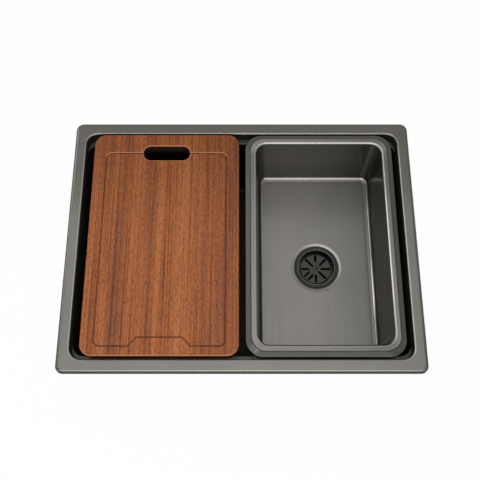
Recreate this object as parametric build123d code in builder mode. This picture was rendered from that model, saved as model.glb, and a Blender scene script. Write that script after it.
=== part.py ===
"""Drop-in workstation kitchen sink with a cutting board and a lift-out basin.

Millimetres. z = 0 is the top of the worktop that the rim rests on, and the origin is the
centre of the rim. +X is to the right, +Y to the rear and +Z up.
"""

import os

from build123d import *

# Rim: a pressed frame of sheet steel, rolled down at both edges
sink_length = 600.0
sink_width = 450.0
sheet = 1.2
rim_end_land = 21.0
rim_front_land = 22.5
rim_height = 7.0
rim_edge_gap = 0.5
rim_corner = 13.0
rim_roll = 6.0
rim_inner_roll = 3.0

# Bowl: one deep sheet steel bowl with a ledge along its front and rear walls
bowl_corner = 20.0
bowl_depth = 220.0
bowl_floor_roll = 15.0
ledge_drop = 22.0
ledge_width = 9.0
ledge_lip = 15.0
ledge_bend = 1.5
lip_proud = 1.5

# Rim seal and worktop
seal_width = 4.0
worktop_thickness = 25.0

# Clip rails, brackets, claws and screws under the rim
rail_strip = 1.0
rail_trough = 2.4
rail_top_drop = 3.0
rail_height = 11.0
rail_lip = 6.0
rail_end_gap = 50.0
clip_end_gap = 40.0
clips_per_long_side = 3
clips_per_short_side = 2
clip_strip = 1.2
clip_width = 16.0
clip_bend = 0.7
clip_hook = 4.0
clip_jog = 2.8
clip_jog_drop = 4.0
clip_jog_rise = 3.5
clip_length = 49.0
claw_strip = 1.5
claw_width = 9.0
claw_reach = 14.0
claw_tip = 8.0
claw_bend = 1.2
claw_travel_room = 10.0
screw_radius = 2.0
screw_offset = 4.2
screw_head_radius = 4.0
screw_head_height = 3.0
screw_head_chamfer = 0.7
screw_tip_room = 5.0
clearance = 0.3

# Sound pads glued to the outside of the bowl
pad_thickness = 3.0
pad_corner = 12.0
pad_end_gap = 90.0
pad_clip_gap = 8.0
pad_floor_gap = 45.0
base_pad_inset = 44.0
base_pad_room = 6.0

# Bowl drain: flanged strainer body, basket and tail
drain_rear_gap = 120.0
drain_flange_radius = 56.5
drain_flange_thickness = 2.5
drain_recess_radius = 59.0
drain_recess_depth = 3.0
drain_cup_radius = 43.5
drain_cup_wall = 1.5
drain_cup_depth = 58.0
drain_cup_round = 6.0
drain_hole_room = 1.0
drain_neck_radius = 23.9
drain_neck_bore = 20.0
drain_neck_length = 16.0
gasket_thickness = 3.0
gasket_width = 12.0
friction_ring_thickness = 1.2
friction_ring_width = 10.0
locknut_height = 10.0
locknut_wall = 6.0
locknut_lugs = 8
locknut_lug_width = 9.0
locknut_lug_height = 4.0
tail_radius = 19.05
tail_wall = 1.2
tail_length = 80.0
tail_flange_radius = 23.5
tail_flange_thickness = 1.5
tail_flange_bend = 2.5
tail_washer_thickness = 2.5
tail_nut_height = 21.0
tail_nut_wall = 4.0
tail_nut_lip = 2.0
tail_nut_ribs = 12
tail_nut_rib_radius = 1.6

# Drain basket with its rubber stopper and pull knob
stopper_radius = 29.0
stopper_thickness = 4.0
stopper_chamfer = 1.0
basket_floor_radius = 26.0
basket_rim_radius = 38.0
basket_lip_radius = 41.0
basket_height = 40.0
basket_wall = 1.0
basket_slots = 16
basket_slot_width = 3.5
basket_slot_length = 18.0
post_radius = 4.0
post_nut_radius = 8.0
post_nut_height = 4.0
knob_radius = 11.0
knob_height = 9.0
knob_edge = 2.0
knob_crown = 3.0
knob_rise = 6.0

# Cutting board
board_side_gap = 16.3
board_front_gap = 4.8
board_rear_gap = 2.6
board_thickness = 25.0
board_corner = 20.0
board_edge_round = 2.0
slot_length = 83.0
slot_width = 27.0
slot_inset = 36.9
groove_radius = 1.5
groove_overrun = 6.0
groove_side_inset = 22.6
groove_front_inset = 16.2
groove_corner = 10.0
jog_base = 102.0
jog_top = 73.6
jog_depth = 14.4
jog_corner = 3.0

# Lift-out basin
basin_width = 261.0
basin_corner = 28.0
basin_side_gap = 11.5
basin_front_gap = 4.0
basin_rear_gap = 2.6
basin_board_gap = 11.0
basin_sheet = 1.0
basin_rise = 26.5
basin_slope = 3.2
basin_step = 2.0
basin_outer_band = 8.6
basin_band_corner = 24.0
basin_inner_band = 10.0
basin_mouth_corner = 20.0
basin_mouth_roll = 3.5
basin_edge_roll = 1.8
basin_skirt_roll = 1.2
basin_depth = 104.0
basin_front_draft = 9.0
basin_rear_draft = 20.0
basin_side_draft = 8.0
basin_floor_corner = 14.0
basin_floor_roll = 9.0

# Basin drain with its lift-out strainer
basin_drain_forward = 18.7
basin_recess_radius = 45.5
basin_recess_depth = 1.6
basin_recess_slope = 4.5
basin_recess_round = 10.0
basin_gasket_thickness = 0.6
basin_gasket_radius = 40.8
ring_flange_radius = 39.0
ring_flange_thickness = 1.0
ring_groove_radius = 36.0
ring_groove_width = 1.4
ring_groove_depth = 0.5
ring_throat_radius = 32.0
ring_wall = 1.5
ring_seat_depth = 18.5
ring_seat_width = 3.0
ring_seat_thickness = 1.5
ring_length = 27.5
basin_nut_height = 8.0
basin_nut_wall = 5.0
basin_nut_lugs = 6
strainer_disc_radius = 28.5
strainer_height = 8.0
strainer_sheet = 1.0
strainer_slot_width = 4.2
strainer_slot_end = 27.0
strainer_slot_starts = (8.5, 9.5, 13.5, 6.0, 11.5, 10.5, 6.5)
strainer_slot_turns = (0.0, 45.0, 90.0, 135.0, 180.0, 270.0, 315.0)
strainer_side_slot_start = 11.0
strainer_side_slot_end = 25.5
strainer_side_slot_offset = 4.5
grip_width = 4.6
grip_rise = 1.5
grip_slope = 5.0
grip_sheet = 0.8
grip_start = -8.0
grip_end = 25.5
grip_foot = 3.5
grip_bend = 1.2
grip_turn = 225.0

# Levels
ledge_z = rim_height - ledge_drop
lip_z = ledge_z - ledge_lip
floor_z = rim_height - bowl_depth
base_z = floor_z - sheet

# Plan sizes of the bowl
opening_length = sink_length - 2 * rim_end_land
opening_width = sink_width - 2 * rim_front_land
wall_length = opening_length + 2 * sheet
wall_width = opening_width + 2 * sheet
nose_width = opening_width - 2 * ledge_width
lower_width = nose_width + 2 * lip_proud
lower_wall_width = lower_width + 2 * sheet

# Plan places and sizes of the board, the basin and the drains
basin_x = opening_length / 2 - basin_side_gap - basin_width / 2
basin_length = opening_width - basin_front_gap - basin_rear_gap
basin_y = (basin_front_gap - basin_rear_gap) / 2
basin_drain_y = basin_y - basin_drain_forward
board_right = basin_x - basin_width / 2 - basin_board_gap
board_left = -opening_length / 2 + board_side_gap
board_width = board_right - board_left
board_length = opening_width - board_front_gap - board_rear_gap
board_x = (board_left + board_right) / 2
board_y = (board_front_gap - board_rear_gap) / 2
drain_x = basin_x
drain_y = lower_width / 2 - drain_rear_gap

# How closely an edge matches a place to be picked there
edge_match = 0.01

TOP = (Align.CENTER, Align.CENTER, Align.MAX)
BASE = (Align.CENTER, Align.CENTER, Align.MIN)


def level(z, x=0.0, y=0.0):
    """Horizontal plane at height z, with its origin above (x, y)."""
    return Plane(origin=(x, y, z))


def upright(x, y):
    """Vertical plane through (x, y): its X is +X and its Y is +Z."""
    return Plane(origin=(x, y, 0), x_dir=(1, 0, 0), z_dir=(0, -1, 0))


def stem(x, y):
    """Vertical axis through (x, y)."""
    return Axis((x, y, 0), (0, 0, 1))


def top_face(builder):
    """Highest flat face of a part that is being built."""
    return builder.faces().filter_by(Plane.XY).sort_by(Axis.Z)[-1]


def bottom_face(builder):
    """Lowest flat face of a part that is being built."""
    return builder.faces().filter_by(Plane.XY).sort_by(Axis.Z)[0]


def edges_at(builder, z):
    """Edges at height z of a part that is being built."""
    return builder.edges().filter_by_position(Axis.Z, z - edge_match, z + edge_match)


def save(builder, name):
    """Label a finished piece and write its STEP file."""
    builder.part.label = name
    export_step(builder.part, f"parts/{name}.step")


os.makedirs("parts", exist_ok=True)

# Sink rim: the hollow underneath is cut out of the filleted frame
with BuildPart() as rim_hollow:
    with BuildSketch(level(rim_edge_gap)):
        RectangleRounded(sink_length - 2 * sheet, sink_width - 2 * sheet, rim_corner - sheet)
        RectangleRounded(wall_length, wall_width, bowl_corner + sheet, mode=Mode.SUBTRACT)
    extrude(amount=rim_height - sheet - rim_edge_gap)
    fillet(top_face(rim_hollow).outer_wire().edges(), rim_roll - sheet)
    fillet(top_face(rim_hollow).inner_wires().edges(), rim_inner_roll - sheet)

with BuildPart() as sink_rim:
    with BuildSketch(level(rim_edge_gap)):
        RectangleRounded(sink_length, sink_width, rim_corner)
        RectangleRounded(opening_length, opening_width, bowl_corner, mode=Mode.SUBTRACT)
    extrude(amount=rim_height - rim_edge_gap)
    fillet(top_face(sink_rim).outer_wire().edges(), rim_roll)
    fillet(top_face(sink_rim).inner_wires().edges(), rim_inner_roll)
    add(rim_hollow.part, mode=Mode.SUBTRACT)
save(sink_rim, "sink_rim")

# Sink bowl: upper wall, ledge with a folded lip, lower wall and floor with a drain recess
with BuildPart() as bowl_hollow:
    with BuildSketch(level(lip_z)):
        RectangleRounded(opening_length, lower_width, bowl_corner)
    extrude(amount=floor_z - lip_z)
    fillet(bottom_face(bowl_hollow).edges(), bowl_floor_roll)

with BuildPart() as sink_bowl:
    with BuildSketch(level(rim_edge_gap)):
        RectangleRounded(wall_length, wall_width, bowl_corner + sheet)
    extrude(amount=ledge_z - sheet - rim_edge_gap)
    with BuildSketch(level(ledge_z)):
        RectangleRounded(wall_length, lower_wall_width, bowl_corner + sheet)
    extrude(amount=base_z - ledge_z)
    fillet(bottom_face(sink_bowl).edges(), bowl_floor_roll + sheet)
    with Locations((drain_x, drain_y, floor_z)):
        Cylinder(drain_recess_radius + sheet, drain_recess_depth + sheet, align=TOP)
    with BuildSketch(level(rim_edge_gap)):
        RectangleRounded(opening_length, opening_width, bowl_corner)
    extrude(amount=ledge_z - rim_edge_gap, mode=Mode.SUBTRACT)
    with BuildSketch(level(ledge_z)):
        RectangleRounded(opening_length, nose_width, bowl_corner)
    extrude(amount=lip_z - ledge_z, mode=Mode.SUBTRACT)
    add(bowl_hollow.part, mode=Mode.SUBTRACT)
    for side in (-nose_width / 2, nose_width / 2):
        nose = edges_at(sink_bowl, ledge_z).filter_by(Axis.X)
        fillet(nose.filter_by_position(Axis.Y, side - edge_match, side + edge_match), ledge_bend)
    with Locations((drain_x, drain_y, floor_z)):
        Cone(
            drain_recess_radius - drain_recess_depth / 2,
            drain_recess_radius,
            drain_recess_depth,
            align=TOP,
            mode=Mode.SUBTRACT,
        )
    with Locations((drain_x, drain_y, base_z)):
        Cylinder(
            drain_cup_radius + drain_hole_room,
            drain_recess_depth,
            align=TOP,
            mode=Mode.SUBTRACT,
        )
save(sink_bowl, "sink_bowl")

# Rim seal: a foam rubber strip between the rim and the worktop
seal_length = sink_length - 2 * rim_roll
seal_span = sink_width - 2 * rim_roll
seal_corner = rim_corner - rim_roll
with BuildPart() as rim_seal:
    with BuildSketch(level(0)):
        RectangleRounded(seal_length, seal_span, seal_corner)
        Rectangle(seal_length - 2 * seal_width, seal_span - 2 * seal_width, mode=Mode.SUBTRACT)
    extrude(amount=rim_height - sheet)
save(rim_seal, "rim_seal")

# Clip rails: folded strips welded to the upper wall, open upwards. Profiles under the rim
# are drawn as distance out from the wall and height.
rail_top = -rail_top_drop
rail_bottom = rail_top - rail_height
rail_lip_x = rail_strip + rail_trough
rail_lip_top = rail_bottom + rail_strip + rail_lip


def rail(length):
    """One rail on a wall that faces +X at x = 0."""
    with BuildPart(mode=Mode.PRIVATE) as piece:
        with BuildSketch(Plane.XZ):
            with Locations((0, rail_bottom)):
                Rectangle(rail_strip, rail_height, align=(Align.MIN, Align.MIN))
                Rectangle(rail_lip_x + rail_strip, rail_strip, align=(Align.MIN, Align.MIN))
            with Locations((rail_lip_x, rail_bottom)):
                Rectangle(rail_strip, rail_strip + rail_lip, align=(Align.MIN, Align.MIN))
        extrude(amount=length / 2, both=True)
    return piece.part


def facing(x, y):
    """Place on the wall through (x, y), turned so that its own X points out of the sink."""
    return Plane(origin=(x, y, 0), x_dir=(x, y, 0), z_dir=(0, 0, 1)).location


long_rail_length = wall_length - 2 * rail_end_gap
short_rail_length = wall_width - 2 * rail_end_gap
right_wall = facing(wall_length / 2, 0)
left_wall = facing(-wall_length / 2, 0)
rear_wall = facing(0, wall_width / 2)
front_wall = facing(0, -wall_width / 2)

with BuildPart() as clip_rails:
    with Locations(front_wall, rear_wall):
        add(rail(long_rail_length))
    with Locations(left_wall, right_wall):
        add(rail(short_rail_length))
save(clip_rails, "clip_rails")


def along(wall, length, count):
    """Evenly spaced places for clips on a rail of the given length."""
    first = clip_end_gap - length / 2
    pitch = -2 * first / (count - 1)
    return [wall * Location((0, first + pitch * place, 0)) for place in range(count)]


clip_places = (
    along(front_wall, long_rail_length, clips_per_long_side)
    + along(rear_wall, long_rail_length, clips_per_long_side)
    + along(left_wall, short_rail_length, clips_per_short_side)
    + along(right_wall, short_rail_length, clips_per_short_side)
)

# Clip brackets: bent strips that hook over the rail's lip and hold the screw at the bottom
hook_x = rail_strip + rail_trough / 2
leg_x = rail_lip_x + rail_strip + clearance + clip_strip / 2
jog_x = leg_x + clip_jog
bridge_z = rail_lip_top + clip_strip / 2
jog_z = rail_bottom - clip_jog_drop
bracket_bottom = rail_top - clip_length
claw_z = -worktop_thickness - claw_tip + claw_strip / 2

with BuildPart(mode=Mode.PRIVATE) as bracket:
    with BuildSketch(Plane.XZ):
        with BuildLine():
            FilletPolyline(
                (hook_x, rail_lip_top - clip_hook),
                (hook_x, bridge_z),
                (leg_x, bridge_z),
                (leg_x, jog_z),
                (jog_x, jog_z - clip_jog_rise),
                (jog_x, bracket_bottom),
                (rail_strip, bracket_bottom),
                radius=clip_bend,
            )
        trace(line_width=clip_strip)
    extrude(amount=clip_width / 2, both=True)
    with Locations((jog_x, 0, claw_z)):
        Box(
            2 * clip_strip,
            claw_width + 2 * clearance,
            2 * claw_travel_room,
            mode=Mode.SUBTRACT,
        )
    with Locations((screw_offset, 0, bracket_bottom)):
        Cylinder(screw_radius + clearance, 2 * clip_strip, mode=Mode.SUBTRACT)

with BuildPart() as clip_brackets:
    with Locations(*clip_places):
        add(bracket.part)
save(clip_brackets, "clip_brackets")

# Clip claws: bent plates on the screws that grip the underside of the worktop
with BuildPart(mode=Mode.PRIVATE) as claw:
    with BuildSketch(Plane.XZ):
        with BuildLine():
            FilletPolyline(
                (rail_strip, claw_z),
                (claw_reach, claw_z),
                (claw_reach, -worktop_thickness),
                radius=claw_bend,
            )
        trace(line_width=claw_strip)
    extrude(amount=claw_width / 2, both=True)
    with Locations((screw_offset, 0, claw_z)):
        Cylinder(screw_radius + clearance, 2 * claw_strip, mode=Mode.SUBTRACT)

with BuildPart() as clip_claws:
    with Locations(*clip_places):
        add(claw.part)
save(clip_claws, "clip_claws")

# Clip screws: driven from below, they draw the claws down against the rails
screw_seat = bracket_bottom - clip_strip / 2
screw_top = jog_z - screw_tip_room
with BuildPart(mode=Mode.PRIVATE) as screw:
    with Locations((screw_offset, 0, screw_seat)):
        Cylinder(screw_radius, screw_top - screw_seat, align=BASE)
        Cylinder(screw_head_radius, screw_head_height, align=TOP)
    chamfer(bottom_face(screw).edges(), screw_head_chamfer)

with BuildPart() as clip_screws:
    with Locations(*clip_places):
        add(screw.part)
save(clip_screws, "clip_screws")

# Sound pads: rubber sheets glued to the lower walls and under the floor
pad_top = screw_seat - screw_head_height - pad_clip_gap
pad_bottom = floor_z + pad_floor_gap
long_pad_length = wall_length - 2 * pad_end_gap
short_pad_length = lower_wall_width - 2 * pad_end_gap


def wall_pad(x, y, length):
    """Pad that stands out from the wall whose outer face passes through (x, y)."""
    face = Plane(origin=(x, y, pad_bottom), x_dir=(-y, x, 0), z_dir=(x, y, 0))
    with BuildPart(mode=Mode.PRIVATE) as pad:
        with BuildSketch(face):
            with Locations((0, (pad_top - pad_bottom) / 2)):
                RectangleRounded(length, pad_top - pad_bottom, pad_corner)
        extrude(amount=pad_thickness)
    return pad


save(wall_pad(0, -lower_wall_width / 2, long_pad_length), "sound_pad_front")
save(wall_pad(0, lower_wall_width / 2, long_pad_length), "sound_pad_rear")
save(wall_pad(-wall_length / 2, 0, short_pad_length), "sound_pad_left")
save(wall_pad(wall_length / 2, 0, short_pad_length), "sound_pad_right")

base_pad_length = opening_length - 2 * base_pad_inset
base_pad_width = lower_width - 2 * base_pad_inset
with BuildPart() as sound_pad_base:
    with BuildSketch(level(base_z)):
        RectangleRounded(base_pad_length, base_pad_width, pad_corner)
        with Locations((drain_x, drain_y)):
            Circle(drain_recess_radius + sheet + base_pad_room, mode=Mode.SUBTRACT)
    extrude(amount=-pad_thickness)
save(sound_pad_base, "sound_pad_base")

# Bowl drain body: flange in the floor recess, cup and threaded neck
recess_z = floor_z - drain_recess_depth
cup_z = recess_z - drain_cup_depth
neck_z = cup_z - drain_neck_length
cup_bore = drain_cup_radius - drain_cup_wall
cup_floor_z = cup_z + drain_cup_wall
flange_z = recess_z + drain_flange_thickness
drain_axis = stem(drain_x, drain_y)

with BuildPart() as drain_body:
    with BuildSketch(upright(drain_x, drain_y)) as drain_profile:
        with BuildLine():
            Polyline(
                (drain_flange_radius, recess_z),
                (drain_flange_radius, flange_z - drain_flange_thickness / 2),
                (drain_flange_radius - drain_flange_thickness, flange_z),
                (cup_bore + drain_flange_thickness, flange_z),
                (cup_bore, flange_z - drain_flange_thickness),
                (cup_bore, cup_floor_z),
                (drain_neck_bore, cup_floor_z),
                (drain_neck_bore, neck_z),
                (drain_neck_radius, neck_z),
                (drain_neck_radius, cup_z),
                (drain_cup_radius, cup_z),
                (drain_cup_radius, recess_z),
                close=True,
            )
        make_face()
        cup_corners = drain_profile.vertices().group_by(Axis.Y)
        fillet(cup_corners[1].sort_by(Axis.X)[-1], drain_cup_round)
        fillet(cup_corners[2].sort_by(Axis.X)[-1], drain_cup_round - drain_cup_wall)
    revolve(axis=drain_axis)
save(drain_body, "drain_body")


def ring(x, y, z, inner, outer, thickness):
    """Flat ring whose top lies at height z."""
    with BuildPart(mode=Mode.PRIVATE) as piece:
        with BuildSketch(level(z, x, y)):
            Circle(outer)
            Circle(inner, mode=Mode.SUBTRACT)
        extrude(amount=-thickness)
    return piece


# Gasket, friction ring and locknut that clamp the drain body to the bowl floor
clamp_bore = drain_cup_radius + clearance
gasket_z = recess_z - sheet
friction_z = gasket_z - gasket_thickness
locknut_z = friction_z - friction_ring_thickness
save(
    ring(drain_x, drain_y, gasket_z, clamp_bore, clamp_bore + gasket_width, gasket_thickness),
    "drain_gasket",
)
save(
    ring(
        drain_x,
        drain_y,
        friction_z,
        clamp_bore,
        clamp_bore + friction_ring_width,
        friction_ring_thickness,
    ),
    "drain_friction_ring",
)


def lugged_nut(x, y, z, bore, wall, height, lugs):
    """Round nut with wrench lugs, its top at height z."""
    with BuildPart(mode=Mode.PRIVATE) as nut:
        with BuildSketch(level(z, x, y)):
            Circle(bore + wall)
            with PolarLocations(bore + wall, lugs):
                Rectangle(locknut_lug_height, locknut_lug_width)
            Circle(bore, mode=Mode.SUBTRACT)
        extrude(amount=-height)
    return nut


save(
    lugged_nut(
        drain_x, drain_y, locknut_z, clamp_bore, locknut_wall, locknut_height, locknut_lugs
    ),
    "drain_locknut",
)

# Tailpiece: flanged tube below the neck, with its washer and coupling nut
tail_top = neck_z - tail_washer_thickness
tail_bottom = tail_top - tail_length
tail_bore = tail_radius - tail_wall

save(
    ring(drain_x, drain_y, neck_z, drain_neck_bore, tail_flange_radius, tail_washer_thickness),
    "tail_washer",
)

with BuildPart() as tailpiece:
    with BuildSketch(upright(drain_x, drain_y)) as tail_profile:
        with BuildLine():
            Polyline(
                (tail_bore, tail_top),
                (tail_flange_radius, tail_top),
                (tail_flange_radius, tail_top - tail_flange_thickness),
                (tail_radius, tail_top - tail_flange_thickness),
                (tail_radius, tail_bottom),
                (tail_bore, tail_bottom),
                close=True,
            )
        make_face()
        flange_underside = tail_profile.vertices().group_by(Axis.Y)[1]
        fillet(flange_underside.sort_by(Axis.X)[0], tail_flange_bend)
    revolve(axis=drain_axis)
save(tailpiece, "tailpiece")

tail_nut_bore = drain_neck_radius + clearance
tail_nut_radius = tail_nut_bore + tail_nut_wall
tail_nut_seat = tail_top - tail_flange_thickness
tail_nut_bottom = tail_nut_seat - tail_nut_lip
seat_opening = tail_radius + tail_flange_bend + clearance
with BuildPart() as tail_nut:
    with Locations((drain_x, drain_y, tail_nut_bottom)):
        Cylinder(tail_nut_radius, tail_nut_height, align=BASE)
        with PolarLocations(tail_nut_radius, tail_nut_ribs):
            Cylinder(tail_nut_rib_radius, tail_nut_height, align=BASE)
        Cone(
            seat_opening - tail_nut_lip,
            seat_opening,
            tail_nut_lip,
            align=BASE,
            mode=Mode.SUBTRACT,
        )
    with Locations((drain_x, drain_y, tail_nut_seat)):
        Cylinder(tail_nut_bore, tail_nut_height, align=BASE, mode=Mode.SUBTRACT)
save(tail_nut, "tail_nut")

# Drain basket: slotted steel cup that stands on its rubber stopper
stopper_top = cup_floor_z + stopper_thickness
basket_top = stopper_top + basket_height
with BuildPart() as basket_stopper:
    with Locations((drain_x, drain_y, cup_floor_z)):
        Cylinder(stopper_radius, stopper_thickness, align=BASE)
        Cylinder(post_radius + clearance, stopper_thickness, align=BASE, mode=Mode.SUBTRACT)
    chamfer(bottom_face(basket_stopper).outer_wire().edges(), stopper_chamfer)
save(basket_stopper, "basket_stopper")

slot_z = stopper_top + basket_height / 2
slot_r = (basket_floor_radius + basket_rim_radius) / 2
with BuildPart() as drain_basket:
    with BuildSketch(upright(drain_x, drain_y)):
        with BuildLine():
            Polyline(
                (post_radius + clearance, stopper_top),
                (basket_floor_radius, stopper_top),
                (basket_rim_radius, basket_top - basket_wall),
                (basket_lip_radius, basket_top - basket_wall),
                (basket_lip_radius, basket_top),
                (basket_rim_radius - basket_wall, basket_top),
                (basket_floor_radius - basket_wall, stopper_top + basket_wall),
                (post_radius + clearance, stopper_top + basket_wall),
                close=True,
            )
        make_face()
    revolve(axis=drain_axis)
    with Locations((drain_x, drain_y, slot_z)):
        with PolarLocations(slot_r, basket_slots):
            Box(
                basket_rim_radius - basket_floor_radius,
                basket_slot_width,
                basket_slot_length,
                mode=Mode.SUBTRACT,
            )
save(drain_basket, "drain_basket")

# Basket post: stem through the basket and stopper, with a pull knob and a lower nut
knob_z = basket_top + knob_rise
post_bottom = cup_floor_z - post_nut_height
with BuildPart() as basket_post:
    with BuildSketch(upright(drain_x, drain_y)):
        with BuildLine():
            Polyline(
                (0, knob_z + knob_crown),
                (0, post_bottom),
                (post_nut_radius, post_bottom),
                (post_nut_radius, cup_floor_z),
                (post_radius, cup_floor_z),
                (post_radius, knob_z - knob_height),
                (knob_radius, knob_z - knob_edge),
                (knob_radius, knob_z),
            )
            TangentArc(
                (0, knob_z + knob_crown), (knob_radius, knob_z), tangent=(1, 0)
            )
        make_face()
    revolve(axis=drain_axis)
save(basket_post, "basket_post")

# Cutting board: rounded slab with a handle slot and a juice groove
board_top = ledge_z + board_thickness
slot_y = board_length / 2 - slot_inset
groove_x = board_width / 2 - groove_side_inset
groove_y = -board_length / 2 + groove_front_inset
slot_end = slot_length / 2 - groove_overrun

with BuildPart() as cutting_board:
    with BuildSketch(level(ledge_z, board_x, board_y)):
        RectangleRounded(board_width, board_length, board_corner)
        with Locations((0, slot_y)):
            SlotOverall(slot_length, slot_width, mode=Mode.SUBTRACT)
    extrude(amount=board_thickness)
    fillet(top_face(cutting_board).edges(), board_edge_round)
    fillet(bottom_face(cutting_board).edges(), board_edge_round)
    with BuildLine(level(board_top, board_x, board_y)) as groove:
        FilletPolyline(
            (slot_end, slot_y),
            (groove_x, slot_y),
            (groove_x, groove_y),
            (jog_base / 2, groove_y),
            (jog_top / 2, groove_y + jog_depth),
            (-jog_top / 2, groove_y + jog_depth),
            (-jog_base / 2, groove_y),
            (-groove_x, groove_y),
            (-groove_x, slot_y),
            (-slot_end, slot_y),
            radius=[groove_corner] * 2 + [jog_corner] * 4 + [groove_corner] * 2,
        )
    with BuildSketch(Plane(groove.line @ 0, z_dir=groove.line % 0)):
        Circle(groove_radius)
    sweep(path=groove.line, mode=Mode.SUBTRACT)
save(cutting_board, "cutting_board")

# Lift-out basin: skirt that stands on the ledge, sloped outer band, raised inner band and tub
basin_top = ledge_z + basin_rise
basin_step_z = basin_top - basin_step
basin_edge_z = basin_step_z - basin_slope
basin_floor_z = basin_top - basin_depth
band_width = basin_width - 2 * basin_outer_band
band_length = basin_length - 2 * basin_outer_band
mouth_width = band_width - 2 * basin_inner_band
mouth_length = band_length - 2 * basin_inner_band
basin_floor_width = mouth_width - 2 * basin_side_draft
basin_floor_length = mouth_length - basin_front_draft - basin_rear_draft
basin_floor_y = basin_y + (basin_front_draft - basin_rear_draft) / 2


def skirt_outline(inset):
    """Outline of the basin's skirt, drawn in by inset on each side."""
    RectangleRounded(basin_width - 2 * inset, basin_length - 2 * inset, basin_corner - inset)


def band_outline(inset):
    """Outline of the raised band, drawn in by inset on each side."""
    RectangleRounded(band_width - 2 * inset, band_length - 2 * inset, basin_band_corner - inset)


def basin_rim(inset):
    """Solid rim with skirt, sloped band and raised band, drawn in by inset on each side."""
    with BuildPart(mode=Mode.PRIVATE) as rim:
        with BuildSketch(level(ledge_z, basin_x, basin_y)):
            skirt_outline(inset)
        extrude(amount=basin_edge_z - inset - ledge_z)
        with BuildSketch(level(basin_edge_z - inset, basin_x, basin_y)):
            skirt_outline(inset)
        with BuildSketch(level(basin_step_z - inset, basin_x, basin_y)):
            band_outline(inset)
        loft()
        with BuildSketch(level(basin_step_z - inset, basin_x, basin_y)):
            band_outline(inset)
        extrude(amount=basin_step)
        fillet(top_face(rim).edges(), basin_edge_roll - inset)
    return rim


def basin_body(outset):
    """Solid tub from the mouth down to the floor, grown by outset on each side."""
    with BuildPart(mode=Mode.PRIVATE) as body:
        with BuildSketch(level(basin_top, basin_x, basin_y)):
            RectangleRounded(
                mouth_width + 2 * outset, mouth_length + 2 * outset, basin_mouth_corner + outset
            )
        with BuildSketch(level(basin_floor_z - outset, basin_x, basin_floor_y)):
            RectangleRounded(
                basin_floor_width + 2 * outset,
                basin_floor_length + 2 * outset,
                basin_floor_corner + outset,
            )
        loft()
        fillet(bottom_face(body).edges(), basin_floor_roll + outset)
    return body


rim_skin = basin_rim(0)
rim_inside = basin_rim(basin_sheet)
tub_skin = basin_body(basin_sheet)
tub_inside = basin_body(0)

with BuildPart() as basin_hollow:
    add(rim_inside.part)
    add(tub_skin.part, mode=Mode.SUBTRACT)
    fillet(top_face(basin_hollow).inner_wires().edges(), basin_mouth_roll - basin_sheet)

basin_recess_z = basin_floor_z - basin_recess_depth
ring_outer = ring_throat_radius + ring_wall
with BuildPart() as basin_tub:
    add(rim_skin.part)
    fillet(edges_at(basin_tub, basin_edge_z), basin_skirt_roll)
    add(tub_skin.part)
    add(tub_inside.part, mode=Mode.SUBTRACT)
    fillet(top_face(basin_tub).inner_wires().edges(), basin_mouth_roll)
    add(basin_hollow.part, mode=Mode.SUBTRACT)
    with Locations((basin_x, basin_drain_y, basin_floor_z - basin_sheet)):
        Cone(
            basin_recess_radius - basin_recess_slope + basin_sheet,
            basin_recess_radius + basin_sheet,
            basin_recess_depth,
            align=TOP,
        )
    with Locations((basin_x, basin_drain_y, basin_floor_z)):
        Cone(
            basin_recess_radius - basin_recess_slope,
            basin_recess_radius,
            basin_recess_depth,
            align=TOP,
            mode=Mode.SUBTRACT,
        )
    floor_arcs = edges_at(basin_tub, basin_floor_z).filter_by(GeomType.CIRCLE)
    fillet(floor_arcs.sort_by(SortBy.RADIUS)[-1], basin_recess_round)
    with Locations((basin_x, basin_drain_y, basin_recess_z)):
        Cylinder(ring_outer + clearance, 2 * basin_sheet, align=TOP, mode=Mode.SUBTRACT)
save(basin_tub, "basin_tub")

# Basin gasket: rubber ring under the flange, its edge in sight round the ring
basin_clamp_bore = ring_outer + clearance
ring_flange_z = basin_recess_z + basin_gasket_thickness
save(
    ring(
        basin_x,
        basin_drain_y,
        ring_flange_z,
        basin_clamp_bore,
        basin_gasket_radius,
        basin_gasket_thickness,
    ),
    "basin_drain_gasket",
)

# Basin drain ring: grooved flange, throat and the seat that carries the strainer
ring_top = ring_flange_z + ring_flange_thickness
seat_z = basin_recess_z - ring_seat_depth
ring_bottom = basin_recess_z - ring_length
seat_radius = ring_throat_radius - ring_seat_width
basin_drain_axis = stem(basin_x, basin_drain_y)
with BuildPart() as basin_drain_ring:
    with BuildSketch(upright(basin_x, basin_drain_y)):
        with BuildLine():
            Polyline(
                (ring_flange_radius, ring_flange_z),
                (ring_flange_radius - ring_flange_thickness, ring_top),
                (ring_groove_radius + ring_groove_width / 2, ring_top),
                (ring_groove_radius, ring_top - ring_groove_depth),
                (ring_groove_radius - ring_groove_width / 2, ring_top),
                (ring_throat_radius + ring_flange_thickness, ring_top),
                (ring_throat_radius, ring_flange_z),
                (ring_throat_radius, seat_z),
                (seat_radius, seat_z),
                (seat_radius, seat_z - ring_seat_thickness),
                (ring_throat_radius, seat_z - ring_seat_thickness),
                (ring_throat_radius, ring_bottom),
                (ring_outer, ring_bottom),
                (ring_outer, ring_flange_z),
                close=True,
            )
        make_face()
    revolve(axis=basin_drain_axis)
save(basin_drain_ring, "basin_drain_ring")

# Basin drain nut: clamps the ring and its gasket to the basin floor from below
save(
    lugged_nut(
        basin_x,
        basin_drain_y,
        basin_recess_z - basin_sheet,
        basin_clamp_bore,
        basin_nut_wall,
        basin_nut_height,
        basin_nut_lugs,
    ),
    "basin_drain_nut",
)

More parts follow.
